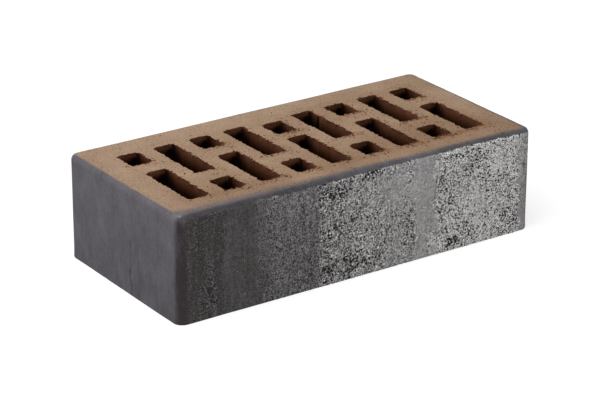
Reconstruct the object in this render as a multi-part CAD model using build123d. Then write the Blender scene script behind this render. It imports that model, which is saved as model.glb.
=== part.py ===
from build123d import *
import os

# Perforated clay facing brick, extruded and fired as one piece. Millimetres, +Z up.
# The origin is the middle of the lower bed face. +X runs along the length, the sanded
# stretcher face looks along -Y, and the upper bed face looks along +Z.
# The clay is pushed through a die along Z, so one section with its perforations runs the
# whole height, and a wire cuts the two bed faces.

# Envelope of the fired brick.
LENGTH = 250.0
WIDTH = 120.0
HEIGHT = 65.0

# Outer edges.
CORNER_RADIUS = 5.5  # upright edges, from the rounded corners of the die
RIM_RADIUS = 3.5  # edge of the upper bed face, rolled over after the wire cut
ARRIS_RADIUS = 0.8  # edge of the lower bed face, which stays nearly sharp
EDGE_LIMIT_SHARE = 0.9  # largest share of the corner radius that a bed edge may take

# Perforations: in each column one long slot and one short core, end for end with the
# columns beside it.
COLUMN_COUNT = 9
END_WALL = 20.2  # clay outside the first and last columns
SIDE_WALL = 20.0  # clay outside the ends of the columns
CORE_WIDTH = 14.4  # across a column
SHORT_CORE_LENGTH = 19.4  # along a column
CROSS_WEB = 12.0  # clay between the slot and the short core of a column
CORE_CORNER_RADIUS = 2.0
CORE_DRIFT = 4.5  # the middle short core has wandered this far towards its slot

# What follows from them.
COLUMN_PITCH = (LENGTH - 2 * END_WALL - CORE_WIDTH) / (COLUMN_COUNT - 1)
COLUMN_END = WIDTH / 2 - SIDE_WALL
SLOT_LENGTH = 2 * COLUMN_END - CROSS_WEB - SHORT_CORE_LENGTH
MIDDLE_COLUMN = COLUMN_COUNT // 2


def core_plan(length, x, y):
    """Return the plan of one perforation, centred at x, y."""
    return Pos(x, y) * RectangleRounded(CORE_WIDTH, length, CORE_CORNER_RADIUS)


def column_plan(index):
    """Return the plan of one column: a slot and a short core, swapped in every other column."""
    x = (index - (COLUMN_COUNT - 1) / 2) * COLUMN_PITCH
    short_side = 1 if index % 2 == 0 else -1
    slot_y = -short_side * (COLUMN_END - SLOT_LENGTH / 2)
    short_y = short_side * (COLUMN_END - SHORT_CORE_LENGTH / 2)
    if index == MIDDLE_COLUMN:
        short_y -= short_side * CORE_DRIFT
    return core_plan(SLOT_LENGTH, x, slot_y) + core_plan(SHORT_CORE_LENGTH, x, short_y)


def die_section():
    """Return the section that the die gives the clay: rounded outline less the perforations."""
    section = RectangleRounded(LENGTH, WIDTH, CORNER_RADIUS)
    for index in range(COLUMN_COUNT):
        section -= column_plan(index)
    return section


def rounded_bed_edge(bed_face, radius):
    """Return the brick with the outer edge of a bed face rounded, within the upright corners."""
    limit = EDGE_LIMIT_SHARE * CORNER_RADIUS
    return fillet(bed_face.outer_wire().edges(), min(radius, limit))


def brick():
    """Return the fired brick as one solid."""
    body = extrude(die_section(), amount=HEIGHT)
    body = rounded_bed_edge(body.faces().sort_by(Axis.Z)[-1], RIM_RADIUS)
    return rounded_bed_edge(body.faces().sort_by(Axis.Z)[0], ARRIS_RADIUS)


os.makedirs("parts", exist_ok=True)
export_step(brick(), "parts/brick.step")
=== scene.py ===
"""Looks of a perforated clay facing brick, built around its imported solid.

The brick is one fired piece. Its visible skin has the solid's own section, and adds what the wire, the die,
the sand and the kiln left on it: torn core edges, die streaks, a patchy sanded coat and loose crumbs.
Sizes are in millimetres unless a name says otherwise, and the meshes are in metres.
"""

from __future__ import annotations

import sys

import logging
import math
from dataclasses import dataclass
from enum import Enum, IntEnum
from itertools import product

import bpy
import numpy as np
from bpy.types import Material, Node, NodeSocket, NodeTree, Object
from mathutils import Matrix, Vector


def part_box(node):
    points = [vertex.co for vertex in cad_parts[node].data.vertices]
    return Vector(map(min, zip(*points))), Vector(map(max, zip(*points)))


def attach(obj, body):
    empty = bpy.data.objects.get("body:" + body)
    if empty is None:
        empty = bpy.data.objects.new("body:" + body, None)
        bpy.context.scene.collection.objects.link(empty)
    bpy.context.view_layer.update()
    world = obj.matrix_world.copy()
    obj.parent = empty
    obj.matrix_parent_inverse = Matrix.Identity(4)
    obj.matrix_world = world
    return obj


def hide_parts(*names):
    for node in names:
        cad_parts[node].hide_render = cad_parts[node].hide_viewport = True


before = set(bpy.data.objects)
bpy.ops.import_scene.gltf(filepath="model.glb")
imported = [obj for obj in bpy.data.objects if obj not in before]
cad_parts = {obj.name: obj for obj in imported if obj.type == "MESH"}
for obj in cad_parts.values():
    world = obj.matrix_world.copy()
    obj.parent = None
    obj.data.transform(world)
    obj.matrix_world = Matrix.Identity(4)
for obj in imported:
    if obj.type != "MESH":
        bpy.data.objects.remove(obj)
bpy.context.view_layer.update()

MM = 0.001
BODY = "root"
NODE = "brick"
BAKE_MAP = "OFBake"
LOG = logging.getLogger("brick")
TINY = 1e-9
HASH_STEPS = np.array([374761393, 668265263, 2147483647], np.uint32)
HASH_SEED = 2654435761
HASH_ROUNDS = ((13, 1274126177), (16, 2246822519))
HASH_LAST_SHIFT = 15


class Finish(IntEnum):
    """Material slots of the brick's skin."""

    CLAY = 0
    COAT = 1


class Mark(str, Enum):
    """Point attributes that carry the brick's history, and the shade painted onto it, to its finishes."""

    BROWN = "brown_mm"
    DUST = "dust_share"
    # The next two carry painted shade: down the core walls and across the bed.
    DEPTH = "painted_wall_shade_mm"
    SHADE = "painted_bed_shade"
    GRIT = "grit_share"
    ROUGH = "rough_share"
    PITS = "pit_share"
    SAND = "sand_mm"
    TONE = "tone_share"
    CRACK = "crack_mm"


Array = np.ndarray
Marks = dict[Mark, Array]
Row = tuple[Array, Array]
Span = tuple[float, float]
Stops = tuple[Span, ...]
Triple = tuple[float, float, float]
Cell = float | Triple


@dataclass(frozen=True)
class Noise:
    """Smooth seeded noise on a cubic lattice, in octaves that are each half as large and half as strong."""

    seed: int
    cell: Cell
    gain: float = 1.0
    octaves: int = 1
    octave_shift: float = 17.0

    def corner_values(self, lattice: Array) -> Array:
        """Give each lattice point its own fixed value.

        Args:
            lattice: Whole-number lattice points, one row each.

        Returns:
            One value from -1 to 1 for each row.
        """
        mixed = np.sum(lattice.astype(np.uint32) * HASH_STEPS, axis=1, dtype=np.uint32)
        mixed = mixed + np.uint32(self.seed * HASH_SEED % 2**32)
        for shift, factor in HASH_ROUNDS:
            mixed = (mixed ^ (mixed >> np.uint32(shift))) * np.uint32(factor)
        return (mixed ^ (mixed >> np.uint32(HASH_LAST_SHIFT))).astype(float) / 2.0**31 - 1.0

    def octave(self, points: Array, cell: Array) -> Array:
        """Sample one octave.

        Args:
            points: Places in millimetres, one row each.
            cell: Size of a lattice cell, alike on all axes or one for each.

        Returns:
            One value from -1 to 1 for each place.
        """
        scaled = points / cell
        base = np.floor(scaled)
        share = scaled - base
        share = share**3 * (share * (share * 6.0 - 15.0) + 10.0)
        total = np.zeros(len(points))
        for corner in product((0, 1), repeat=3):
            weight = np.prod(np.where(corner, share, 1.0 - share), axis=1)
            total += weight * self.corner_values((base + corner).astype(np.int64))
        return total

    def at(self, points: Array) -> Array:
        """Sample the noise.

        Args:
            points: Places in millimetres, one row each.

        Returns:
            One value for each place, up to about the gain either way.
        """
        total = np.zeros(len(points))
        for k in range(self.octaves):
            total += self.octave(points + self.octave_shift * k, np.asarray(self.cell, float) / 2**k) / 2**k
        return self.gain * (total / (2.0 - 2.0 ** (1 - self.octaves)))


@dataclass(frozen=True)
class Rise:
    """A smooth rise from 0 at one value to its height at another."""

    start: float
    end: float
    height: float = 1.0

    def at(self, values: Array) -> Array:
        """Look values up on the rise."""
        share = np.clip((values - self.start) / (self.end - self.start), 0.0, 1.0)
        return self.height * (share * share * (3.0 - 2.0 * share))


def look_up(values: Array, stops: Stops) -> Array:
    """Read values off the line through some stops."""
    return np.interp(values, *np.array(stops).T)


@dataclass(frozen=True)
class Core:
    """One perforation in plan: a rectangle with rounded corners."""

    left: float
    right: float
    front: float
    back: float
    radius: float

    def arc_centres(self) -> tuple[Array, Array]:
        """Give the lowest and highest corners of the rectangle on which the corner arcs are centred.

        Returns:
            The two corners.
        """
        low = np.array([self.left, self.front]) + self.radius
        high = np.array([self.right, self.back]) - self.radius
        return low, high

    def outside(self, plan: Array) -> Array:
        """Measure how far points lie outside the core.

        Args:
            plan: Points in plan, one row each.

        Returns:
            Distances, negative inside the core.
        """
        low, high = self.arc_centres()
        over = np.abs(plan - (low + high) / 2) - (high - low) / 2
        beyond = np.linalg.norm(np.maximum(over, 0.0), axis=1)
        return beyond + np.minimum(over.max(axis=1), 0.0) - self.radius

    def perimeter(self) -> float:
        """Measure the outline."""
        low, high = self.arc_centres()
        return float(2 * np.sum(high - low) + 2 * math.pi * self.radius)

    def ring(self, count: int) -> Array:
        """Space points evenly along the outline, anticlockwise from the front side's left end.

        Args:
            count: How many points.

        Returns:
            Points in plan, one row each.
        """
        low, high = self.arc_centres()
        corners = ((high[0], low[1]), (high[0], high[1]), (low[0], high[1]), (low[0], low[1]))
        path = [(low[0], self.front)]
        for turn, corner in enumerate(corners):
            angles = math.pi / 2 * (turn - 1 + np.linspace(0.0, 1.0, 9))
            path += list(np.array(corner) + self.radius * np.column_stack([np.cos(angles), np.sin(angles)]))
        path = np.array(path)
        run = np.concatenate([[0.0], np.cumsum(np.linalg.norm(np.diff(path, axis=0), axis=1))])
        stops = np.arange(count) / count * run[-1]
        return np.column_stack([np.interp(stops, run, path[:, k]) for k in (0, 1)])

    def along(self, plan: Array) -> Array:
        """Find where points on or outside the outline lie along it.

        Args:
            plan: Points in plan, one row each.

        Returns:
            Distances along the outline, from the front side's left end.
        """
        low, high = self.arc_centres()
        near = np.clip(plan, low, high)
        angle = np.arctan2(*(plan - near).T[::-1])
        angle = np.where(angle < -math.pi / 2 - TINY, angle + 2 * math.pi, angle)
        wide, deep = high - low
        sides = [
            near[:, 0] - low[0], wide + near[:, 1] - low[1],
            wide + deep + high[0] - near[:, 0], 2 * wide + deep + high[1] - near[:, 1],
        ]
        side = np.clip(np.floor((angle + math.pi / 2 + TINY) / (math.pi / 2)), 0, 3).astype(int)
        return np.choose(side, sides) + self.radius * (angle + math.pi / 2)


@dataclass(frozen=True)
class Perforations:
    """The die's cores: in each column a slot and a short core, swapped in every other column."""

    columns: int = 9
    end_wall: float = 20.2
    side_wall: float = 20.0
    width: float = 14.4
    short_length: float = 19.4
    cross_web: float = 12.0
    corner_radius: float = 2.0
    drift: float = 4.5

    def cores(self, length: float, width: float) -> list[Core]:
        """Lay the cores out on a brick.

        Args:
            length: Brick's length.
            width: Brick's width.

        Returns:
            Every core, column by column from the left.
        """
        pitch = (length - 2 * self.end_wall - self.width) / (self.columns - 1)
        reach = width / 2 - self.side_wall
        found = []
        for index in range(self.columns):
            x = (index - (self.columns - 1) / 2) * pitch
            shift = self.drift if index == self.columns // 2 else 0.0
            short = (reach - self.short_length - shift, reach - shift)
            slot = (-reach, reach - self.short_length - self.cross_web)
            for front, back in (slot, short):
                ends = (front, back) if index % 2 == 0 else (-back, -front)
                found.append(Core(x - self.width / 2, x + self.width / 2, *ends, self.corner_radius))
        return found


@dataclass
class PlanGrid:
    """Grid over the bed faces whose lines follow the outline and every core's edges."""

    length: float
    width: float
    corner: float
    rim: float
    cores: list[Core]
    pitch: float = 1.0
    rim_steps: int = 8

    def __post_init__(self) -> None:
        """Work out the lines and each core's place among them."""
        across = sorted({e for c in self.cores for e in (c.left, c.right)})
        along = sorted({round(e, 6) for c in self.cores for e in (c.front, c.back)})
        self.x, self.unrolled_x = self.lines(self.length / 2, across)
        self.y, self.unrolled_y = self.lines(self.width / 2, along)
        self.spans = []
        for core in self.cores:
            columns = [int(np.argmin(np.abs(self.x - e))) for e in (core.left, core.right)]
            rows = [int(np.argmin(np.abs(self.y - e))) for e in (core.front, core.back)]
            self.spans.append((*columns, *rows))

    def lines(self, half: float, edges: list[float]) -> tuple[Array, Array]:
        """Place the grid lines of one axis, with an even number of cells between core edges.

        Args:
            half: Half the brick's size on this axis.
            edges: Core edges on this axis, ascending.

        Returns:
            The lines, and the same lines with the rim's roll laid flat.
        """
        keys = [-half + self.rim, -half + self.corner, *edges, half - self.corner, half - self.rim]
        inner = [keys[0]]
        for low, high in zip(keys, keys[1:]):
            cells = 2 * max(1, round((high - low) / (2 * self.pitch)))
            inner += list(low + (high - low) * np.arange(1, cells + 1) / cells)
        turn = np.linspace(0.0, math.pi / 2, self.rim_steps + 1)[1:]
        roll = half - self.rim + self.rim * np.sin(turn)
        flat = half - self.rim + self.rim * turn
        return np.array([*-roll[::-1], *inner, *roll]), np.array([*-flat[::-1], *inner, *flat])

    def plan(self, inset: float) -> Array:
        """Bend the grid to the brick's rounded outline.

        Args:
            inset: How far the outline is drawn in from the brick's own.

        Returns:
            Plan positions, indexed by line across, line along and axis.
        """
        grid = np.stack(np.meshgrid(self.x, self.y, indexing="ij"), axis=-1)
        half = np.array([self.length, self.width]) / 2 - self.corner
        over = np.maximum(np.abs(grid) - half, 0.0) / self.corner
        most, least = over.max(axis=-1), over.min(axis=-1)
        angle = math.pi / 4 * least / np.maximum(most, TINY)
        angle = np.where(over[..., 0] >= over[..., 1], angle, math.pi / 2 - angle)
        arm = most * (self.corner - inset)
        bent = np.stack([arm * np.cos(angle), arm * np.sin(angle)], axis=-1)
        return np.sign(grid) * (np.minimum(np.abs(grid), half) + bent)

    def clay(self, stride: int) -> Array:
        """Tell which cells are meshed as a plain grid, clear of the cores.

        Args:
            stride: Grid lines to a cell.

        Returns:
            A flag for each cell.
        """
        cells = np.ones(((len(self.x) - 1) // stride, (len(self.y) - 1) // stride), bool)
        for span in self.spans:
            i0, i1, j0, j1 = self.around(span, stride)
            cells[i0:i1, j0:j1] = False
        return cells

    @staticmethod
    def around(span: tuple[int, int, int, int], stride: int) -> tuple[int, int, int, int]:
        """Take a core's grid lines with one more cell on each side.

        Args:
            span: The core's first and last lines across and along.
            stride: Grid lines to a cell.

        Returns:
            The wider lines, counted in cells.
        """
        i0, i1, j0, j1 = (line // stride for line in span)
        return i0 - 1, i1 + 1, j0 - 1, j1 + 1

    @staticmethod
    def loop(i0: int, i1: int, j0: int, j1: int) -> Array:
        """List the grid points round a block of cells, anticlockwise from above.

        Args:
            i0: First line across.
            i1: Last line across.
            j0: First line along.
            j1: Last line along.

        Returns:
            Pairs of line numbers, the first not repeated.
        """
        front = [(i, j0) for i in range(i0, i1)]
        right = [(i1, j) for j in range(j0, j1)]
        back = [(i, j1) for i in range(i1, i0, -1)]
        left = [(i0, j) for j in range(j1, j0, -1)]
        return np.array(front + right + back + left)

    def edge_distance(self) -> Array:
        """Measure each grid point's distance from the brick's outline, in plan.

        Returns:
            Distances by grid line.
        """
        across = self.length / 2 - np.abs(self.x)
        along = self.width / 2 - np.abs(self.y)
        return np.minimum(across[:, None], along[None, :])


@dataclass(frozen=True)
class BakeIsland:
    """A place on the bake sheet for one unrolled face, in sheet pixels."""

    left: float
    low: float
    density: float
    sheet: float
    turned: bool = False

    def uv(self, across: Array, up: Array | float) -> Array:
        """Turn millimetres on the face into sheet coordinates.

        Args:
            across: Distances from the face's left edge.
            up: Distances from its lower edge.

        Returns:
            Coordinates from 0 to 1, in the last axis.
        """
        across, up = np.broadcast_arrays(across, up)
        pair = (up, across) if self.turned else (across, up)
        corner = (self.left, self.low)
        return np.stack([start + self.density * part for start, part in zip(corner, pair)], -1) / self.sheet


@dataclass
class BakeShelf:
    """A column of the bake sheet, filled row by row."""

    left: float
    right: float
    density: float
    sheet: float = 1024.0
    margin: float = 6.0
    low: float = 6.0
    row_top: float = 0.0
    next_left: float = 0.0

    def place(self, wide: float, tall: float, density: float | None = None,
              turned: bool = False) -> BakeIsland:
        """Take a place for a face.

        Args:
            wide: Face's width.
            tall: Face's height.
            density: Pixels for a millimetre, if not the column's own.
            turned: Whether the face lies on its side.

        Returns:
            The face's place.
        """
        scale = density or self.density
        size = np.array((tall, wide) if turned else (wide, tall)) * scale
        if max(self.next_left, self.left) + size[0] > self.right:
            self.low, self.next_left = self.row_top + self.margin, 0.0
        start = max(self.next_left, self.left)
        self.row_top = max(self.row_top, self.low + size[1])
        self.next_left = start + size[0] + self.margin
        return BakeIsland(start, self.low, scale, self.sheet, turned)


class SkinMesh:
    """Points and faces of a mesh that is being put together."""

    def __init__(self) -> None:
        """Start with nothing."""
        self.points: list[Array] = []
        self.count = 0
        self.faces: list[Array] = []
        self.face_uvs: list[Array] = []
        self.face_slots: list[Array] = []

    def add_points(self, places: Array) -> Array:
        """Add points and number them.

        Args:
            places: Points in millimetres, one row each.

        Returns:
            Their numbers.
        """
        ids = np.arange(self.count, self.count + len(places))
        self.points.append(np.asarray(places, float))
        self.count += len(places)
        return ids

    def add_faces(self, ids: Array, uvs: Array, slots: Finish | Array) -> None:
        """Add faces that all have the same number of corners.

        Args:
            ids: Point numbers, one row for each face.
            uvs: Bake coordinates of the corners.
            slots: One finish for all, or one for each face.
        """
        self.faces.append(ids)
        self.face_uvs.append(uvs)
        self.face_slots.append(np.broadcast_to(np.asarray(slots, np.int32), (len(ids),)))

    def strip(self, upper: Row, lower: Row, slot: Finish, turn: int) -> None:
        """Join two rows of points, where the lower row may have half as many.

        Args:
            upper: Numbers and bake coordinates of the upper row.
            lower: The same for the lower row.
            slot: Finish of the faces.
            turn: 1 for faces that look to the right of the row's direction, -1 for the left.
        """
        cells = []
        for top, low in zip(upper, lower):
            if len(top) == len(low):
                cells.append([(top[:-1], low[:-1], low[1:], top[1:])])
            else:
                first, mid, last = top[:-1:2], top[1::2], top[2::2]
                cells.append([(first, low[:-1], mid), (mid, low[:-1], low[1:]), (mid, low[1:], last)])
        for ids, uvs in zip(*cells):
            self.add_faces(np.stack(ids, 1)[:, ::turn], np.stack(uvs, 1)[:, ::turn], slot)

    def zip_loops(self, outer: tuple[Array, ...], inner: tuple[Array, ...], length: float,
                  slot: Finish, turn: int) -> None:
        """Fill the gap between a core's outline and the grid round it.

        Args:
            outer: Numbers, distances along the core and bake coordinates of the grid's loop.
            inner: The same for the core's outline.
            length: Length of the outline.
            slot: Finish of the faces.
            turn: 1 for faces that look up, -1 for down.
        """
        order = np.argsort(outer[1], kind="stable")
        loops = [tuple(part[order] for part in outer), inner]
        stops = [np.append(loop[1], loop[1][0] + length) for loop in loops]
        counts = [len(loop[0]) for loop in loops]
        at = [0, 0]
        corners = []
        while at[0] < counts[0] or at[1] < counts[1]:
            ahead = [stops[k][at[k] + 1] if at[k] < counts[k] else math.inf for k in (0, 1)]
            k = 0 if ahead[0] <= ahead[1] else 1
            here, there = (k, at[k]), (k, (at[k] + 1) % counts[k])
            across = (1 - k, at[1 - k] % counts[1 - k])
            corners.append((here, there, across) if k == 0 else (there, here, across))
            at[k] += 1
        ids = np.array([[loops[k][0][n] for k, n in tri] for tri in corners])
        uvs = np.array([[loops[k][2][n] for k, n in tri] for tri in corners])
        self.add_faces(ids[:, ::turn], uvs[:, ::turn], slot)

    def all_points(self) -> Array:
        """Return every point, in millimetres."""
        return np.concatenate(self.points)

    def normals(self, places: Array) -> Array:
        """Work out a normal for each point from the faces round it.

        Args:
            places: Where the points are.

        Returns:
            Unit normals, one row for each point.
        """
        total = np.zeros_like(places)
        for ids in self.faces:
            first, second, last = places[ids[:, 0]], places[ids[:, 1]], places[ids[:, -1]]
            if ids.shape[1] == 4:
                normal = np.cross(places[ids[:, 2]] - first, last - second)
            else:
                normal = np.cross(second - first, last - first)
            for corner in range(ids.shape[1]):
                np.add.at(total, ids[:, corner], normal)
        return total / np.maximum(np.linalg.norm(total, axis=1, keepdims=True), TINY)

    def to_object(self, name: str, places: Array, marks: Marks,
                  sharp_deg: float) -> Object:
        """Make a Blender object of the mesh.

        Args:
            name: Piece's name.
            places: Final points in millimetres.
            marks: Point attributes.
            sharp_deg: Edges that turn by more than this stay sharp.

        Returns:
            The linked object.
        """
        mesh = bpy.data.meshes.new(name)
        totals = np.concatenate([np.full(len(f), f.shape[1], np.int32) for f in self.faces])
        mesh.vertices.add(len(places))
        mesh.vertices.foreach_set("co", (places * MM).astype(np.float32).ravel())
        mesh.loops.add(int(totals.sum()))
        corners = np.concatenate([f.ravel() for f in self.faces])
        mesh.loops.foreach_set("vertex_index", corners.astype(np.int32))
        mesh.polygons.add(len(totals))
        starts = np.cumsum(totals) - totals
        mesh.polygons.foreach_set("loop_start", starts.astype(np.int32))
        mesh.polygons.foreach_set("material_index", np.concatenate(self.face_slots).astype(np.int32))
        mesh.uv_layers.new(name=BAKE_MAP)
        uvs = np.concatenate([u.reshape(-1, 2) for u in self.face_uvs]).astype(np.float32)
        mesh.uv_layers[BAKE_MAP].data.foreach_set("uv", uvs.ravel())
        for mark, values in marks.items():
            noted = mesh.attributes.new(mark.value, "FLOAT", "POINT")
            noted.data.foreach_set("value", values.astype(np.float32))
        mesh.update(calc_edges=True)
        mesh.validate()
        mesh.polygons.foreach_set("use_smooth", np.ones(len(mesh.polygons), bool))
        mesh.set_sharp_from_angle(angle=math.radians(sharp_deg))
        made = bpy.data.objects.new(name, mesh)
        bpy.context.scene.collection.objects.link(made)
        return made


def linear(code: str) -> tuple[float, float, float, float]:
    """Turn an sRGB hex colour into linear values.

    Args:
        code: Colour such as "#a58b75".

    Returns:
        Red, green, blue and an alpha of 1.
    """
    parts = [int(code[k:k + 2], 16) / 255 for k in (1, 3, 5)]
    return (*[p / 12.92 if p <= 0.04045 else ((p + 0.055) / 1.055) ** 2.4 for p in parts], 1.0)


def add(tree: NodeTree, kind: str, *values: object, named: dict[str, object] | None = None,
        **settings: object) -> Node:
    """Add a node with its settings, values and links.

    Args:
        tree: Node tree to add to.
        kind: Blender's name for the node, without its "ShaderNode" start.
        *values: What its open inputs take, in order: a number, a hex colour, a node or an output socket.
        named: The same for inputs by name.
        **settings: Attributes of the node itself.

    Returns:
        The node.
    """
    node = tree.nodes.new("ShaderNode" + kind)
    for name, value in settings.items():
        setattr(node, name, value)
    pairs = list(zip([socket for socket in node.inputs if socket.enabled], values))
    pairs += [(node.inputs[name], value) for name, value in (named or {}).items()]
    for socket, value in pairs:
        if isinstance(value, Node):
            value = next(out for out in value.outputs if out.enabled)
        if isinstance(value, NodeSocket):
            tree.links.new(value, socket)
        else:
            socket.default_value = linear(value) if isinstance(value, str) else value
    return node


class Recipe:
    """A material in the making, whose patterns are laid out in millimetres."""

    # Typical of fired clay and of quartz sand.
    ior: float = 1.5

    def __init__(self, name: str, marks: tuple[Mark, ...] = ()) -> None:
        """Start an empty material.

        Args:
            name: Material's name.
            marks: Point attributes that it reads.
        """
        self.made = bpy.data.materials.new(name)
        self.made.use_nodes = True
        self.tree = self.made.node_tree
        self.tree.nodes.clear()
        where = add(self.tree, "TexCoord").outputs["Object"]
        self.place = add(self.tree, "VectorMath", where, 1 / MM, operation="SCALE")
        self.marks = {}
        for mark in marks:
            self.marks[mark] = add(self.tree, "Attribute", attribute_name=mark.value).outputs["Fac"]

    def grain(self, cell: float, stretch: float = 1.0, detail: float = 2.0,
              rough: float = 0.6) -> Node:
        """Lay an uneven grain of a real size over the surface.

        Args:
            cell: Size of its features.
            stretch: How much taller than wide they are.
            detail: Its octaves.
            rough: Strength of each octave against the last.

        Returns:
            Values of about 0.5.
        """
        squeezed = add(self.tree, "VectorMath", self.place, (1.0, 1.0, 1.0 / stretch), operation="MULTIPLY")
        return add(self.tree, "TexNoise", squeezed, 1 / cell, detail, rough)

    def sway(self, pattern: Node, gain: float, onto: object) -> Node:
        """Add a pattern's swing about its middle to a value.

        Args:
            pattern: Values of about 0.5.
            gain: How strong the swing is.
            onto: Value to add it to.

        Returns:
            The sum.
        """
        swing = add(self.tree, "Math", pattern, 0.5, operation="SUBTRACT")
        return add(self.tree, "Math", swing, gain, onto, operation="MULTIPLY_ADD")

    def finish(self, colour: object, roughness: object, specular: float,
               height: Node | None = None) -> Material:
        """End the material with its shader.

        Args:
            colour: Base colour.
            roughness: Roughness.
            specular: Specular level.
            height: Relief in millimetres, if any.

        Returns:
            The material.
        """
        inputs = {"Base Color": colour, "Roughness": roughness, "Specular IOR Level": specular}
        inputs["IOR"] = self.ior
        if height is not None:
            bumps = {"Height": height, "Distance": MM, "Strength": 1.0}
            inputs["Normal"] = add(self.tree, "Bump", named=bumps)
        add(self.tree, "OutputMaterial", add(self.tree, "BsdfPrincipled", named=inputs))
        return self.made


@dataclass(frozen=True)
class WireCutClay:
    """Fired brick clay, cut by a wire on the beds and torn round the cores.

    The wire drags fine sand through the clay, which leaves a dull, even brown with a fine grain and small
    pores. The core walls were smeared by the die to a darker, redder brown, and are painted darker still with
    depth, as painted shade where less light reaches down the cores.
    """

    name: str = "wire_cut_fired_clay"
    light: str = "#bfa38a"
    dark: str = "#866a52"
    speck: str = "#5a3c2c"
    dust: str = "#a0714e"
    # Painted shade: the wall colour darkens toward black with depth down the cores; its darker first stop is
    # a painted shadow line along the torn upper edge.
    core_shade_stops: tuple[tuple[float, str], ...] = (
        (0.0, "#5a3624"), (0.7, "#724733"), (2.5, "#69432f"), (5.5, "#4d2c1a"), (8.5, "#2a1307"),
        (11.0, "#120602"), (14.0, "#050100"),
    )
    # The clay's own grain is about 0.3 mm across, too fine to show, so it and its pores are drawn coarser.
    grain_mm: float = 1.0
    pore_mm: float = 1.5
    mottle_mm: float = 26.0
    streak_mm: float = 1.4
    streak_stretch: float = 30.0
    grain_rough: float = 0.7
    grain_gain: float = 1.1
    grain_depth: float = 0.5
    mottle_gain: float = 0.5
    tone_range: Span = (0.5, 1.1)
    dust_cover: float = 0.55
    dust_pores: float = 0.08
    pore_range: Span = (0.68, 0.76)
    pore_depth: float = 0.3
    streak_range: Span = (0.3, 0.7)
    streak_gains: Span = (0.9, 1.1)
    wall_range: Span = (0.02, 0.15)
    roughness: float = 0.92
    specular: float = 0.05

    def colour(self, recipe: Recipe) -> tuple[Node, Node]:
        """Add the clay's colour, with the painted shade of the bed and the core walls, and its relief.

        Args:
            recipe: Material to add to.

        Returns:
            The colour, and a height in millimetres.
        """
        tree = recipe.tree
        shade, dust, depth = (recipe.marks[mark] for mark in (Mark.SHADE, Mark.DUST, Mark.DEPTH))
        grain = recipe.grain(self.grain_mm, rough=self.grain_rough)
        fine = add(tree, "Math", grain, self.grain_gain, operation="MULTIPLY")
        mottle = recipe.grain(self.mottle_mm, detail=3.0)
        tone = add(tree, "Math", mottle, self.mottle_gain, fine, operation="MULTIPLY_ADD")
        # Painted shade: the bed is drawn darker toward the front and the ends.
        lit = add(tree, "MapRange", add(tree, "Math", tone, shade, operation="SUBTRACT"), *self.tone_range)
        bed = add(tree, "Mix", lit, self.dark, self.light, data_type="RGBA")
        cover = add(tree, "Math", dust, self.dust_cover, operation="MULTIPLY")
        bed = add(tree, "Mix", cover, bed, self.dust, data_type="RGBA")
        pores = recipe.grain(self.pore_mm, detail=1.0)
        odds = add(tree, "Math", dust, self.dust_pores, pores, operation="MULTIPLY_ADD")
        pore = add(tree, "MapRange", odds, *self.pore_range)
        speckled = add(tree, "Mix", pore, bed, self.speck, data_type="RGBA")
        # Painted shade: the core walls take a colour that darkens with depth.
        is_wall = add(tree, "MapRange", depth, *self.wall_range)
        done = add(tree, "Mix", is_wall, speckled, self.shaded_wall_colour(recipe, depth), data_type="RGBA")
        bumps = add(tree, "Math", grain, self.grain_depth, operation="MULTIPLY")
        return done, add(tree, "Math", pore, -self.pore_depth, bumps, operation="MULTIPLY_ADD")

    def shaded_wall_colour(self, recipe: Recipe, depth: NodeSocket) -> Node:
        """Add the colour of the core walls, darkened with depth as painted shade and streaked down their
        length.

        Args:
            recipe: Material to add to.
            depth: How deep the wall looks, which sets its painted shade.

        Returns:
            The colour.
        """
        tree = recipe.tree
        streaks = recipe.grain(self.streak_mm, self.streak_stretch)
        streak = add(tree, "MapRange", streaks, *self.streak_range, *self.streak_gains)
        sunk = add(tree, "Math", depth, streak, operation="MULTIPLY")
        deepest = self.core_shade_stops[-1][0]
        wall = add(tree, "ValToRGB", add(tree, "Math", sunk, deepest, operation="DIVIDE"))
        while len(wall.color_ramp.elements) < len(self.core_shade_stops):
            wall.color_ramp.elements.new(0.5)
        for stop, (at, code) in zip(wall.color_ramp.elements, self.core_shade_stops):
            stop.position = at / deepest
            stop.color = linear(code)
        return wall

    def material(self) -> Material:
        """Make the material.

        Returns:
            The wire-cut clay.
        """
        recipe = Recipe(self.name, (Mark.SHADE, Mark.DUST, Mark.DEPTH))
        colour, height = self.colour(recipe)
        return recipe.finish(colour, self.roughness, self.specular, height)


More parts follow.
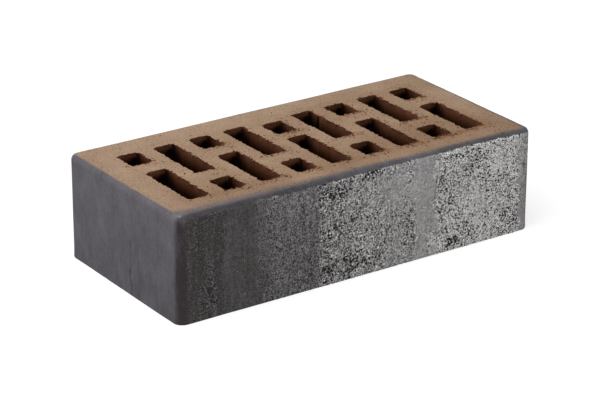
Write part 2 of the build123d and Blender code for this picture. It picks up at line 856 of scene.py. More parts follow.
@dataclass(frozen=True)
class SandedCoat:
    """Grey engobe, smoothed by the die on the ends and the rim and patched with sand on the front face.

    Bare engobe is a satin slate grey with faint streaks along the extrusion. Where sand was pressed in, light
    grains and dark pits alternate, so the face looks like salt and pepper.
    """

    name: str = "sanded_grey_engobe"
    slate: str = "#77757d"
    slate_deep: str = "#2b2427"
    bare: str = "#2a2324"
    sand: str = "#f2f1f0"
    pit: str = "#1e1b1a"
    crack: str = "#242125"
    # The sand's grains are about 0.3 mm across, too fine to show, so they are drawn coarser.
    fine_mm: float = 0.75
    lump_mm: float = 2.4
    pit_mm: float = 1.8
    blotch_mm: float = 4.5
    cloud_mm: float = 11.0
    cloud_stretch: float = 1.6
    drag_mm: float = 2.0
    drag_stretch: float = 4.0
    fine_tone: float = 0.5
    drag_tone: float = 0.24
    cloud_tone: float = 0.5
    fine_gain: float = 12.0
    lump_gain: float = 4.5
    drag_gain: float = 2.6
    blotch_gain: float = 0.2
    pit_rank_gain: float = 0.5
    pit_rank_floor: float = 0.485
    pit_slope: float = 0.55
    pit_range: Span = (1.0, 1.045)
    pit_depth: float = 0.4
    # Painted highlight: a pale ring round each pit.
    pit_highlight_range: Span = (0.93, 1.0)
    pit_highlight_gain: float = 0.7
    ledge_fray: float = 1.2
    ledge_range: Span = (-0.15, 0.15)
    crack_range: Span = (0.5, 0.2)
    edge_fray: float = 2.4
    edge_range: Span = (-0.8, 0.7)
    rough_relief: float = 0.4
    bare_relief: float = 0.015
    matt_range: Span = (0.0, 0.5)
    roughness: float = 0.72
    specular: float = 0.3

    def material(self, clay: WireCutClay) -> Material:
        """Make the material.

        Args:
            clay: The body under the coat, which shows past the coat's edge.

        Returns:
            The sanded coat.
        """
        recipe = Recipe(self.name, tuple(Mark))
        tree, marks = recipe.tree, recipe.marks
        fine = recipe.grain(self.fine_mm, detail=1.5)
        lump = recipe.grain(self.lump_mm)
        drag = recipe.grain(self.drag_mm, self.drag_stretch, detail=1.0)
        swell = 0.0
        for pattern, gain in ((fine, self.fine_gain), (lump, self.lump_gain), (drag, self.drag_gain)):
            swell = recipe.sway(pattern, gain, swell)
        smooth = self.bare_engobe(recipe, fine, drag)
        pitted, pit = self.pressed_sand(recipe, swell)
        brink = recipe.sway(lump, self.ledge_fray, marks[Mark.SAND])
        ledge = add(tree, "MapRange", brink, *self.ledge_range)
        face = add(tree, "Mix", ledge, smooth, pitted, data_type="RGBA")
        beside = add(tree, "Math", marks[Mark.CRACK], operation="ABSOLUTE")
        split = add(tree, "MapRange", beside, *self.crack_range)
        cracked = add(tree, "Mix", split, face, self.crack, data_type="RGBA")
        past_edge = recipe.sway(fine, self.edge_fray, marks[Mark.BROWN])
        share = add(tree, "MapRange", past_edge, *self.edge_range)
        clay_colour, clay_height = clay.colour(recipe)
        done = add(tree, "Mix", share, cracked, clay_colour, data_type="RGBA")
        depths = (self.rough_relief, self.bare_relief)
        depth = add(tree, "Math", marks[Mark.ROUGH], *depths, operation="MULTIPLY_ADD")
        relief = add(tree, "Math", swell, depth, operation="MULTIPLY")
        relief = add(tree, "Math", pit, -self.pit_depth, relief, operation="MULTIPLY_ADD")
        height = add(tree, "Mix", share, relief, clay_height)
        matt = add(tree, "Math", share, marks[Mark.GRIT], operation="MAXIMUM")
        dull = add(tree, "MapRange", matt, *self.matt_range, self.roughness, clay.roughness)
        return recipe.finish(done, dull, self.specular, height)

    def bare_engobe(self, recipe: Recipe, fine: Node, drag: Node) -> Node:
        """Add the colour of the engobe where it has no sand.

        Args:
            recipe: Material to add to.
            fine: The finest grain.
            drag: The streaks that the die dragged.

        Returns:
            The colour.
        """
        tree = recipe.tree
        cloud = recipe.grain(self.cloud_mm, self.cloud_stretch)
        tone = recipe.marks[Mark.TONE]
        for pattern, gain in ((fine, self.fine_tone), (drag, self.drag_tone), (cloud, self.cloud_tone)):
            tone = recipe.sway(pattern, gain, tone)
        lit = add(tree, "MapRange", tone, 0.0, 1.0)
        return add(tree, "Mix", lit, self.slate_deep, self.slate, data_type="RGBA")

    def pressed_sand(self, recipe: Recipe, swell: Node) -> tuple[Node, Node]:
        """Add the colour of the sand, with its pits and a painted highlight round each of them.

        Args:
            recipe: Material to add to.
            swell: How the sand's surface rises and falls.

        Returns:
            The colour, and the share of each pit.
        """
        tree = recipe.tree
        rough, grit, pits = (recipe.marks[mark] for mark in (Mark.ROUGH, Mark.GRIT, Mark.PITS))
        found = add(tree, "TexVoronoi", recipe.place, 1 / self.pit_mm).outputs
        ranks = (found["Color"], self.pit_rank_gain, self.pit_rank_floor)
        rank = add(tree, "Math", *ranks, operation="MULTIPLY_ADD")
        dots = add(tree, "Math", found["Distance"], -self.pit_slope, rank, operation="MULTIPLY_ADD")
        blotch = recipe.grain(self.blotch_mm, detail=1.0)
        odds = recipe.sway(blotch, self.blotch_gain, add(tree, "Math", dots, pits, operation="ADD"))
        # Painted highlight round each pit, stronger where the sand is lighter.
        pit_highlight = add(tree, "Math", add(tree, "MapRange", odds, *self.pit_highlight_range), grit, operation="MULTIPLY")
        level = add(tree, "Math", swell, rough, grit, operation="MULTIPLY_ADD")
        level = add(tree, "Math", pit_highlight, self.pit_highlight_gain, level, operation="MULTIPLY_ADD")
        lit = add(tree, "MapRange", level, 0.0, 1.0)
        sanded = add(tree, "Mix", lit, self.bare, self.sand, data_type="RGBA")
        pit = add(tree, "MapRange", odds, *self.pit_range)
        return add(tree, "Mix", pit, sanded, self.pit, data_type="RGBA"), pit


@dataclass(frozen=True)
class Section:
    """The brick's outer sizes, the same as its solid's."""

    length: float
    width: float
    height: float
    corner: float = 5.5
    rim: float = 3.5
    arris: float = 0.8


@dataclass
class SkinPoints:
    """Points of the brick's plain skin, sorted by face and by the core that they are nearest to."""

    box: Section
    cores: list[Core]
    base: Array
    normals: Array
    core_gap: float = 0.05
    bed_slope: float = 0.5

    def __post_init__(self) -> None:
        """Sort the points."""
        self.x, self.y, self.z = self.base.T
        self.depth = self.box.height - self.z
        self.gaps = np.array([core.outside(self.base[:, :2]) for core in self.cores])
        self.gap = self.gaps.min(axis=0)
        self.nearest = np.argmin(self.gaps, axis=0)
        self.on_bed = self.normals[:, 2] > self.bed_slope
        self.in_core = self.gap < self.core_gap
        self.on_side = ~self.on_bed & ~self.in_core


@dataclass(frozen=True)
class WornCorner:
    """The one upper corner where handling has worn the coat, which looks pale and scuffed."""

    place: Triple = (-121.0, -56.0, 65.0)
    size: float = 4.5
    tone: float = 0.3
    grit: float = 0.4
    sand_rise: float = 1.2
    sand_floor: float = -1.22

    def share(self, base: Array) -> Array:
        """Tell how near points are to the corner."""
        return np.exp(-np.sum((base - self.place) ** 2, axis=1) / self.size**2)


@dataclass(frozen=True)
class CoatEdge:
    """Where the coat ends on the upper bed, by its distance from each face."""

    front: Stops = (
        (-125.0, 11.0), (-118.0, 9.5), (-108.0, 8.0), (-80.0, 7.6), (-40.0, 7.0), (0.0, 6.0), (40.0, 4.6),
        (80.0, 4.4), (110.0, 3.3), (125.0, 3.2),
    )
    left: Stops = ((-60.0, 4.2), (-40.0, 3.1), (20.0, 2.6), (60.0, 2.4))
    right: Stops = ((-60.0, 4.4), (-30.0, 3.8), (0.0, 3.4), (40.0, 2.8), (60.0, 1.5))
    back: float = 2.4
    ragged: Noise = Noise(11, 9.0, 0.5, 3)
    front_ragged: float = 2.0
    drop: float = 0.4
    fade: float = 0.38
    left_fade: Rise = Rise(20.0, -70.0, 0.17)
    covered: float = -5.0

    def past(self, skin: SkinPoints) -> Array:
        """Measure how far points lie past the coat's edge, where the clay is bare.

        Args:
            skin: The plain skin.

        Returns:
            Signed distances, drawn in where the coat fades out slowly.
        """
        half_length, half_width = skin.box.length / 2, skin.box.width / 2
        from_front = skin.y + half_width - look_up(skin.x, self.front)
        from_left = half_length + skin.x - look_up(skin.y, self.left)
        from_right = half_length - skin.x - look_up(skin.y, self.right)
        from_back = half_width - skin.y - self.back
        ragged = self.ragged.at(skin.base) - self.drop * skin.depth
        fade = self.fade - self.left_fade.at(skin.x)
        from_rest = np.minimum(np.minimum(from_left, from_right), from_back)
        past = np.minimum(from_rest + ragged, (from_front + self.front_ragged * ragged) * fade)
        return np.where(skin.z > skin.box.height / 2, past, self.covered)


@dataclass(frozen=True)
class PaintedBedShade:
    """Painted shade on the wire-cut bed: how much darker it is drawn toward the front and the two ends."""

    middle: float = -0.02
    toward_front: Rise = Rise(0.0, -50.0, 0.13)
    toward_right: Rise = Rise(-40.0, 110.0, 0.07)
    toward_left: Rise = Rise(-70.0, -112.0, 0.035)

    def at(self, skin: SkinPoints) -> Array:
        """Add the shades up for each point."""
        ends = self.toward_right.at(skin.x) + self.toward_left.at(skin.x)
        return self.toward_front.at(skin.y) + ends + self.middle


@dataclass(frozen=True)
class CoreWalls:
    """Painted shade down the core walls: how deep they look, with less light toward the back wall and its
    right corner.
    """

    # Painted shade: the back wall is drawn deeper than it is, most of all toward its right corner, and so are
    # the side walls near it.
    back_shade_depths: Stops = (
        (0.0, 0.0), (0.4, 0.6), (1.3, 0.7), (2.6, 1.8), (3.5, 3.9), (4.7, 6.8), (7.0, 10.5), (65.0, 60.0),
    )
    corner_shade_depths: Stops = ((2.5, 6.5), (4.5, 4.0), (6.5, 2.9), (9.5, 1.0), (12.0, 0.0))
    corner_start: Rise = Rise(0.0, 1.2)
    right_corner_shade: Rise = Rise(5.5, 1.0)
    back_share: Rise = Rise(1.2, 0.2)
    groove_place: Span = (31.6, 30.0)
    groove_share: Rise = Rise(1.2, 0.3)
    groove_painted_shade: Rise = Rise(0.0, 0.4, 9.0)

    def groove(self, skin: SkinPoints) -> Array:
        """Tell how near points are to the one groove that the die scored down a core wall."""
        return self.groove_share.at(np.linalg.norm(skin.base[:, :2] - self.groove_place, axis=1))

    def depth(self, skin: SkinPoints) -> Array:
        """Work out how deep points look, which sets their painted shade.

        Args:
            skin: The plain skin.

        Returns:
            Depths as the eye takes them, which darken the walls as painted shade, and 0 outside the cores.
        """
        away = np.array([core.back for core in skin.cores])[skin.nearest] - skin.y
        beside = np.array([core.right for core in skin.cores])[skin.nearest] - skin.x
        wall = skin.depth + look_up(away, self.corner_shade_depths) * self.corner_start.at(skin.depth)
        back = look_up(skin.depth, self.back_shade_depths) * (1.0 + self.right_corner_shade.at(beside))
        # Painted shade in the groove that the die scored down one wall.
        groove_shade = self.groove(skin) * self.groove_painted_shade.at(skin.depth)
        return np.where(skin.in_core, wall + (back - wall) * self.back_share.at(away) + groove_shade, 0.0)


@dataclass(frozen=True)
class EngobeTones:
    """How light the bare engobe is: pale on the ends, dark on the front's rim and corners, lifted along the
    ends' rim by a burnished coat and a painted highlight, darker toward the bottom, and with painted shadow
    low down toward the front.
    """

    end: float = 0.49
    fronts: Stops = (
        (-125.0, 0.0), (-121.0, 0.03), (-112.0, 0.17), (-70.0, 0.20), (-25.0, 0.37), (25.0, 0.48),
        (60.0, 0.53), (95.0, 0.48), (125.0, 0.46),
    )
    round_corner: Rise = Rise(-0.4, -3.9)
    # Painted highlight along the ends' rim, on top of the burnished coat's own lighter tone.
    rim_burnish_and_highlight: Rise = Rise(-0.5, 1.5, 0.06)
    # Darker toward the bottom.
    low: Rise = Rise(45.0, 5.0, -0.07)
    # Painted shadow low down on the ends, toward the front.
    shadow_toward_front: Rise = Rise(25.0, -25.0, -0.07)
    shadow_below: Rise = Rise(60.0, 38.0)

    def at(self, skin: SkinPoints, worn: WornCorner) -> Array:
        """Work out the tone of each point.

        Args:
            skin: The plain skin.
            worn: The worn corner.

        Returns:
            Shares of the lighter engobe.
        """
        box = skin.box
        turned = self.round_corner.at(skin.y + box.width / 2 - box.corner)
        # The rim's lift is partly burnished coat and partly painted highlight.
        rim_lift_and_highlight = self.rim_burnish_and_highlight.at(skin.z - box.height + box.rim)
        # Darker toward the bottom, with painted shadow low down toward the front.
        low = self.low.at(skin.z) + self.shadow_toward_front.at(skin.y) * self.shadow_below.at(skin.z)
        ends = (self.end + rim_lift_and_highlight + low) * (1.0 - turned)
        return ends + turned * look_up(skin.x, self.fronts) + worn.tone * worn.share(skin.base)


@dataclass(frozen=True)
class FaceBand:
    """A stretch of the front face, from the last band's end: how light, uneven and pitted it is."""

    end: float
    grit: float
    rough: float
    pits: float


@dataclass(frozen=True)
class FacePatch:
    """A place on the front face that is more or less pitted, uneven or light than its band."""

    x: float
    z: float
    half_x: float
    half_z: float
    pits: float
    rough: float = 0.0
    grit: float = 0.0


@dataclass(frozen=True)
class FrontSand:
    """Sand that was pressed into the front face in uneven bands, with its pits and patches."""

    bands: tuple[FaceBand, ...] = tuple(FaceBand(*row) for row in (
        (-119.0, 0.024, 0.010, 0.10), (-105.0, 0.020, 0.028, 0.26), (-94.0, 0.029, 0.032, 0.28),
        (-73.0, 0.047, 0.020, 0.24), (-65.0, 0.076, 0.050, 0.30), (-31.0, 0.121, 0.104, 0.36),
        (-7.0, 0.302, 0.192, 0.452), (14.0, 0.378, 0.165, 0.428), (38.0, 0.368, 0.155, 0.41),
        (53.5, 0.380, 0.068, 0.20), (93.0, 0.555, 0.290, 0.470), (112.5, 0.610, 0.300, 0.488),
        (117.0, 0.44, 0.16, 0.40), (130.0, 0.27, 0.05, 0.24),
    ))
    patches: tuple[FacePatch, ...] = tuple(FacePatch(*row) for row in (
        (-105.0, 14.0, 6.0, 15.0, 0.18, 0.05), (-64.0, 44.0, 5.0, 12.0, 0.08, 0.03),
        (-28.0, 52.0, 3.0, 12.0, 0.06), (-20.0, 56.0, 9.0, 5.0, 0.08), (-24.0, 30.0, 6.0, 6.0, 0.07),
        (-27.0, 7.0, 5.0, 6.0, 0.09), (-4.0, 10.0, 9.0, 8.0, 0.08), (3.0, 61.0, 8.0, 5.0, 0.08),
        (8.0, 10.0, 9.0, 4.0, 0.08), (31.0, 18.0, 5.0, 12.0, 0.06), (85.0, 55.0, 4.0, 3.5, 0.2),
        (67.0, 6.0, 7.0, 4.0, 0.17), (74.0, 10.0, 5.0, 4.0, 0.08), (60.0, 12.0, 5.0, 8.0, 0.06),
        (105.0, 15.0, 3.5, 4.0, 0.18), (111.0, 9.0, 4.0, 4.0, 0.18), (62.0, 32.0, 4.0, 5.0, 0.06),
        (-17.0, 22.0, 6.0, 7.0, -0.04, -0.03, -0.04), (-8.0, 48.0, 7.0, 6.0, -0.08, -0.04),
        (23.0, 46.0, 15.0, 14.0, -0.07, -0.07), (80.0, 28.0, 12.0, 14.0, -0.09, -0.10),
        (100.0, 54.0, 22.0, 18.0, 0.0, 0.0, 0.07), (-50.0, 56.0, 22.0, 14.0, 0.0, 0.0, 0.035),
        (-50.0, 14.0, 22.0, 18.0, 0.0, 0.0, -0.024), (11.0, 50.0, 6.0, 9.0, -0.04, 0.0, 0.03),
        (120.0, 56.0, 4.0, 20.0, 0.08, 0.06, 0.02), (102.0, 60.0, 15.0, 4.5, -0.06, -0.09, -0.06),
        (50.5, 9.0, 4.0, 9.0, 0.20, 0.12, 0.08), (56.0, 57.0, 3.0, 8.0, -0.10, -0.12, -0.12),
    ))
    drops: Stops = (
        (-125.0, 2.6), (-115.0, 1.8), (-20.0, 1.8), (0.0, 1.5), (20.0, 1.35), (85.0, 1.4), (100.0, 1.9),
        (118.0, 2.2), (125.0, 2.6),
    )
    past_corner: float = 2.5
    face_depth: float = 0.7
    face_slope: float = 1.5
    left_brink: float = 0.3
    right_brink: Rise = Rise(-45.0, -28.0, 0.7)
    outer_brink: float = -1.5
    blend: float = 4.5
    wide_sway: Noise = Noise(21, 14.0, 3.2, 3)
    fine_sway: Noise = Noise(22, 3.0, 2.4, 3)
    patch_share: Rise = Rise(1.3, 0.4)
    patch_sway: Noise = Noise(24, 3.0, 0.3)
    pit_sway: Noise = Noise(25, 10.0, 0.05, 2)
    rough_sway: Noise = Noise(28, 8.0, 0.6, 2)
    cloud: Noise = Noise(26, 16.0, 0.18, 2)
    thin: Rise = Rise(0.25, 0.1)
    thin_cloud: Noise = Noise(29, (6.0, 9.0, 14.0), 0.4, 2)
    drag: Noise = Noise(27, (1.8, 9.0, 40.0))
    drag_gain: float = 0.28
    left_drag: Rise = Rise(-90.0, -98.0, 0.022)

    def within(self, skin: SkinPoints) -> Array:
        """Measure how far points lie within the sand's edge.

        Args:
            skin: The plain skin.

        Returns:
            Signed distances, drawn in where the sand thins out slowly.
        """
        box = skin.box
        below = skin.depth - look_up(skin.x, self.drops)
        beside = box.length / 2 - box.corner + self.past_corner - np.abs(skin.x)
        in_face = self.face_slope * (self.face_depth - box.width / 2 - skin.y)
        brink = self.left_brink + self.right_brink.at(skin.x)
        return np.minimum(np.minimum(below, beside), in_face) * brink

    def marks(self, skin: SkinPoints, worn: WornCorner) -> Marks:
        """Spread the sand and its pits.

        Args:
            skin: The plain skin.
            worn: The worn corner.

        Returns:
            How light, uneven, pitted and far within the sand each point is.
        """
        ragged = skin.x + self.wide_sway.at(skin.base) + self.fine_sway.at(skin.base)
        starts = [-skin.box.length, *[band.end for band in self.bands[:-1]]]
        totals = np.zeros((3, len(ragged)))
        ramp = Rise(-self.blend / 2, self.blend / 2)
        for start, band in zip(starts, self.bands):
            share = ramp.at(ragged - start) - ramp.at(ragged - band.end)
            totals += share * np.array([[band.grit], [band.rough], [band.pits]])
        sway = self.patch_sway.at(skin.base)
        for spot in self.patches:
            away = np.hypot((skin.x - spot.x) / spot.half_x, (skin.z - spot.z) / spot.half_z)
            totals += self.patch_share.at(away + sway) * np.array([[spot.grit], [spot.rough], [spot.pits]])
        thin = self.thin.at(totals[0])
        dragged = self.drag.at(skin.base) * thin
        cloudy = self.cloud.at(skin.base) + thin * self.thin_cloud.at(skin.base)
        totals[0] *= 1.0 + cloudy + self.drag_gain * dragged
        totals[0] += dragged * self.left_drag.at(skin.x)
        totals[1] *= 1.0 + self.rough_sway.at(skin.base)
        totals[2] += self.pit_sway.at(skin.base)
        scuffed = worn.share(skin.base)
        totals[0] += worn.grit * scuffed**2
        sand = np.maximum(self.within(skin), worn.sand_rise * scuffed + worn.sand_floor)
        grit, rough, pits = totals * (sand > self.outer_brink)
        return {Mark.GRIT: grit, Mark.ROUGH: rough, Mark.PITS: pits, Mark.SAND: sand}


@dataclass(frozen=True)
class ClayDust:
    """Torn clay on the upper bed, mostly past the front and right edges of the cores."""

    everywhere: float = 0.12
    reach: float = 3.4
    past_front: Rise = Rise(2.0, -1.0)
    front_left: float = 0.6
    past_right: Rise = Rise(-2.0, 1.0, 0.08)
    right_front: Rise = Rise(5.0, 0.0, 4.0)
    left_end: float = 0.45
    to_middle: Rise = Rise(-110.0, -20.0, 0.55)
    to_right: Rise = Rise(10.0, 90.0, 0.5)
    right_wall: Rise = Rise(102.0, 108.0, 0.7)
    uneven: Noise = Noise(46, 4.5, 1.1, 2)
    least: float = 0.2
    bed_depth: float = 0.5

    def at(self, skin: SkinPoints) -> Array:
        """Spread the dust.

        Args:
            skin: The plain skin.

        Returns:
            Shares of dust.
        """
        most = np.zeros(len(skin.base))
        for core, gap in zip(skin.cores, skin.gaps):
            past_front = self.past_front.at(skin.y - core.front)
            past_front *= self.front_left + Rise(core.left, core.right, 1.0 - self.front_left).at(skin.x)
            past_right = self.past_right.at(skin.x - core.right)
            past_right *= 1.0 + self.right_front.at(skin.y - core.front)
            spread = np.exp(-np.maximum(gap, 0.0) / self.reach)
            most = np.maximum(most, spread * (self.everywhere + np.maximum(past_front, past_right)))
        along = self.left_end + self.to_middle.at(skin.x) + self.to_right.at(skin.x)
        along *= 1.0 - self.right_wall.at(skin.x)
        uneven = np.maximum(1.0 + self.uneven.at(skin.base), self.least)
        return np.where(skin.z > skin.box.height - self.bed_depth, most * along * uneven, 0.0)


@dataclass(frozen=True)
class Crack:
    """A hairline split up a face, as heights and places across, on the front or the left end."""

    stops: Stops
    on_front: bool
    faintness: float


@dataclass(frozen=True)
class FaceCracks:
    """All the hairline splits, which dried into the left end and the front."""

    cracks: tuple[Crack, ...] = (
        Crack(((-0.5, -9.4), (9.0, -9.2)), False, 0.0), Crack(((7.5, -7.8), (15.0, -7.5)), False, 0.12),
        Crack(((14.0, -8.9), (34.0, -8.7)), False, 0.34), Crack(((29.0, 52.0), (47.0, 53.4)), True, 0.40),
    )
    wander: Noise = Noise(51, 2.0, 0.35)
    farthest: float = 9.0
    face_gap: float = 0.1

    def beside(self, skin: SkinPoints) -> Array:
        """Measure how far points lie beside the nearest crack.

        Args:
            skin: The plain skin.

        Returns:
            Signed distances, large away from the cracks.
        """
        nearest = np.full(len(skin.base), self.farthest)
        wander = self.wander.at(skin.base * (0.0, 0.0, 1.0))
        for crack in self.cracks:
            low, high = crack.stops[0][0], crack.stops[-1][0]
            across, face = (0, -skin.box.width / 2) if crack.on_front else (1, -skin.box.length / 2)
            beside = skin.base[:, across] - look_up(skin.z, crack.stops) + wander
            beside += np.copysign(crack.faintness, beside)
            beside += np.copysign(np.maximum(np.maximum(low - skin.z, skin.z - high), 0.0), beside)
            on_face = skin.base[:, 1 - across] < face + self.face_gap
            nearest = np.where(on_face & (np.abs(beside) < np.abs(nearest)), beside, nearest)
        return nearest


@dataclass(frozen=True)
class SkinRelief:
    """How the faces stand off their plain shape: bowed, streaked, sanded, pitted and split."""

    bow: Noise = Noise(31, 40.0, 0.14, 2)
    bed_grain: Noise = Noise(32, 2.2, 0.06, 2)
    streaks: Noise = Noise(33, (5.0, 5.0, 70.0))
    core_streaks: Rise = Rise(0.0, 6.0, 0.15)
    side_streaks: float = 0.04
    groove: float = 0.7
    sand_layer: float = 0.4
    thinnest: float = 0.3
    full_grit: float = 0.33
    ledge: Rise = Rise(-0.2, 0.5)
    crust: Noise = Noise(34, 2.6, 0.9, 2)
    hole_depth: Rise = Rise(0.42, 0.62, 0.7)
    holes: Noise = Noise(35, 3.0)
    flare: float = 0.3
    flare_reach: float = 2.5
    split: Rise = Rise(1.2, 0.3, 0.45)

    def lift(self, skin: SkinPoints, marks: Marks, walls: CoreWalls) -> Array:
        """Work out how far each point stands off its plain face.

        Args:
            skin: The plain skin.
            marks: What is known about each point.
            walls: The core walls, one of which has a groove.

        Returns:
            Distances along the normals.
        """
        streaks = self.streaks.at(skin.base)
        height = self.bow.at(skin.base) + np.where(skin.on_bed, self.bed_grain.at(skin.base), 0.0)
        scored = streaks * self.core_streaks.at(skin.depth) - self.groove * walls.groove(skin)
        share = self.thinnest + np.clip(marks[Mark.GRIT] / self.full_grit, 0.0, 1.0 - self.thinnest)
        crust = marks[Mark.ROUGH] * self.crust.at(skin.base)
        sanded = self.ledge.at(marks[Mark.SAND]) * (self.sand_layer * share + crust)
        holes = np.maximum(self.hole_depth.at(marks[Mark.PITS]) * self.holes.at(skin.base), 0.0)
        flare = self.flare * np.exp(-skin.z / self.flare_reach)
        split = self.split.at(np.abs(marks[Mark.CRACK]))
        worn = self.side_streaks * streaks + flare - split - holes
        return height + np.where(skin.in_core, scored, sanded) + np.where(skin.on_side, worn, 0.0)


@dataclass(frozen=True)
class TornEdges:
    """The upper edges of the cores, where the wire tore the clay: nicked on the right, burred on the back."""

    tear_depth: float = 0.9
    flatten: Triple = (1.0, 1.0, 0.2)
    fine: Noise = Noise(41, 1.0, 0.42)
    coarse: Noise = Noise(42, 2.2, 0.3)
    right_gain: float = 0.6
    back_loss: float = 0.4
    right_lean: float = 0.35
    back_wave: Noise = Noise(45, 7.0, 0.5)
    nick: Noise = Noise(43, 1.1)
    nick_start: float = 0.15
    nick_depth: float = 3.1
    nick_share: float = 0.35
    widest_nick: float = 0.8
    burr: float = 1.1
    blunt_corner: float = 2.2
    burr_depth: float = 6.0
    chips: Noise = Noise(44, 2.4, 0.8, 2)
    chip_start: float = 0.15
    chip_depth: float = 0.4
    chip_reach: Rise = Rise(0.9, 0.0)
    chip_level: float = 0.2

    def tear(self, skin: SkinPoints, moved: Array) -> Array:
        """Break the edges.

        Args:
            skin: The plain skin.
            moved: Its points so far.

        Returns:
            The points with torn edges.
        """
        limits = np.array([core.arc_centres() for core in skin.cores])[skin.nearest]
        inward = np.clip(skin.base[:, :2], limits[:, 0], limits[:, 1]) - skin.base[:, :2]
        inward /= np.maximum(np.linalg.norm(inward, axis=1, keepdims=True), TINY)
        beside, behind = np.maximum(-inward, 0.0).T
        depth = np.maximum(skin.depth, 0.0)
        flat = skin.base * self.flatten
        ragged = self.fine.at(flat) + self.coarse.at(flat)
        teeth = ragged * (1.0 + self.right_gain * beside - self.back_loss * behind) + self.right_lean * beside
        teeth += behind * self.back_wave.at(flat)
        deep = self.nick_depth * (self.nick_share + (1.0 - self.nick_share) * beside)
        nicks = deep * np.maximum(self.nick.at(flat) - self.nick_start, 0.0)
        torn = np.exp(-depth / self.tear_depth) * np.maximum(teeth - nicks, -self.widest_nick)
        blunt = self.blunt_corner * behind * np.maximum(inward[:, 0], 0.0)
        burr = (self.burr * behind + blunt) * np.exp(-depth / self.burr_depth)
        moved[:, :2] += inward * ((torn + burr) * skin.in_core)[:, None]
        chipped = self.chip_depth * np.maximum(0.0, self.chip_start + self.chips.at(skin.base))
        moved[:, 2] -= self.chip_reach.at(skin.gap) * (depth < self.chip_level) * chipped
        return moved


